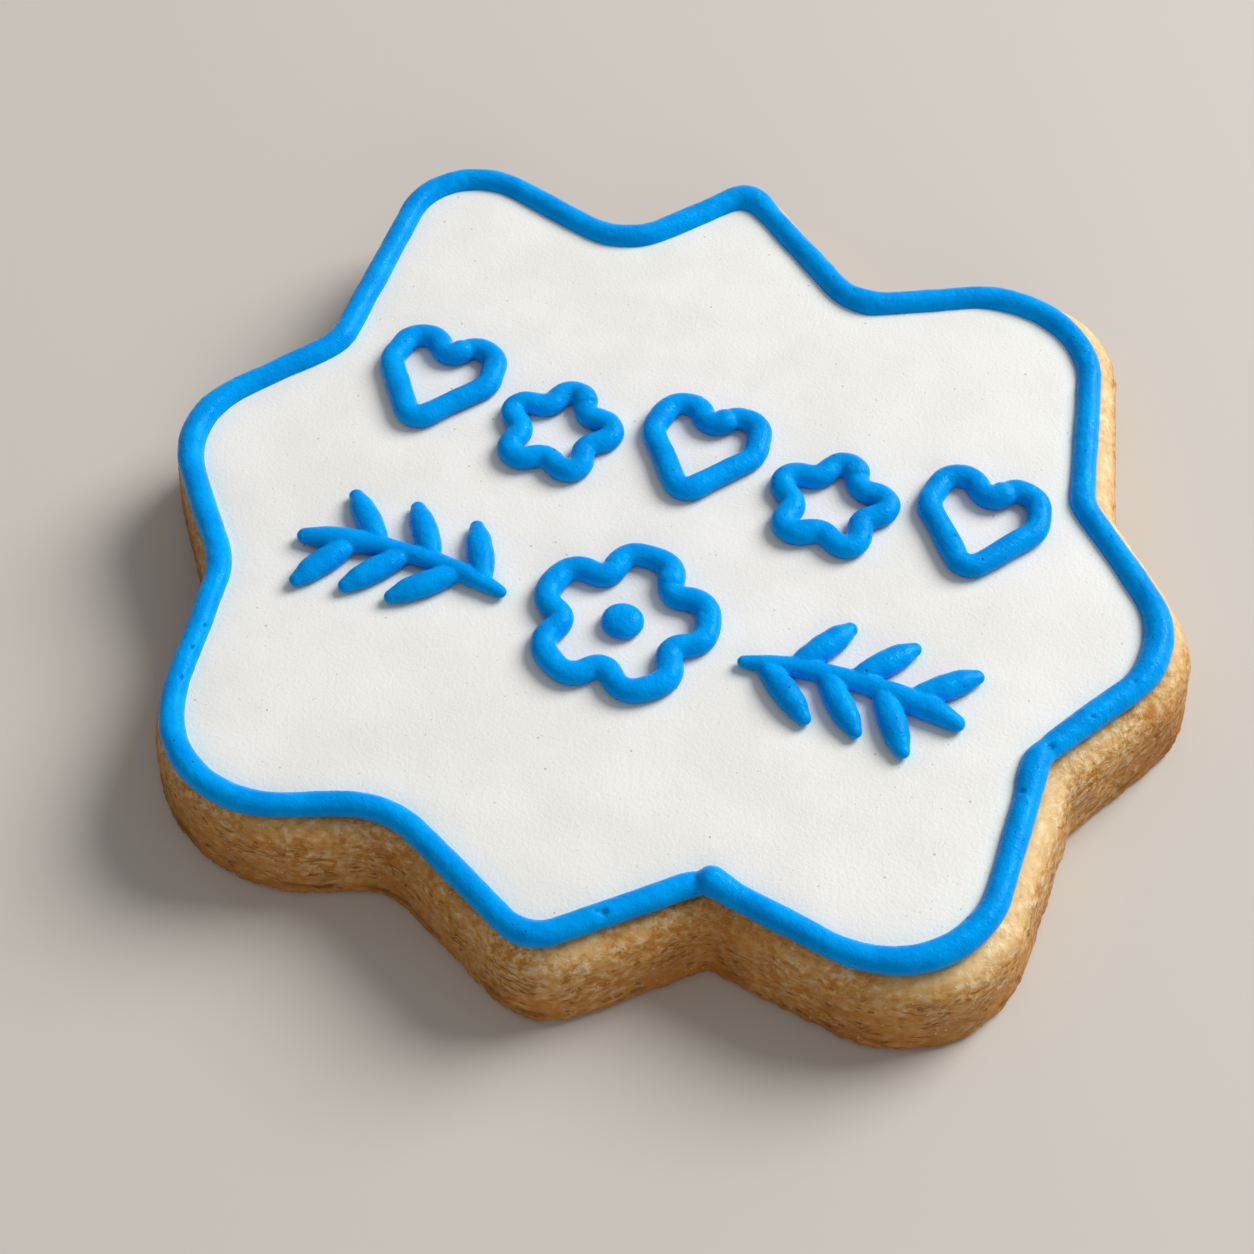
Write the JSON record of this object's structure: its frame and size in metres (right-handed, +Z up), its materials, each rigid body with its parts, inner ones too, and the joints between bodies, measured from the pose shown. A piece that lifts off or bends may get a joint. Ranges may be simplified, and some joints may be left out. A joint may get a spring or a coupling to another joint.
{
  "type": "iced sugar cookie",
  "caption": "Thick plaque-shaped sugar cookie with rounded lobes, flat white icing, a piped blue bead along its edge and piped blue hearts, stars, a flower and leaf sprigs.",
  "frame": {"origin": "middle of the underside's bounding box, on the surface that the cookie lies on", "axes": "+Z up through the thickness, +Y to the top of the decoration, +X to its right"},
  "size_m": [0.1004, 0.098, 0.0119],
  "materials": {
    "dough": "baked dough, dry and finely crumbled, browner at the lobes and the bottom edge",
    "white_icing": "dried flood icing, matte with a faint grain and fine specks",
    "blue_icing": "piped icing, semi-gloss with small pits and ripples"
  },
  "bodies": {
    "root": {"dough": "dough", "white_icing": "white_icing", "blue_border": "blue_icing", "heart_left": "blue_icing", "star_left": "blue_icing", "heart_middle": "blue_icing", "star_right": "blue_icing", "heart_right": "blue_icing", "flower_ring": "blue_icing", "flower_dot": "blue_icing", "sprig_left": "blue_icing", "sprig_right": "blue_icing"}
  },
  "joints": []
}
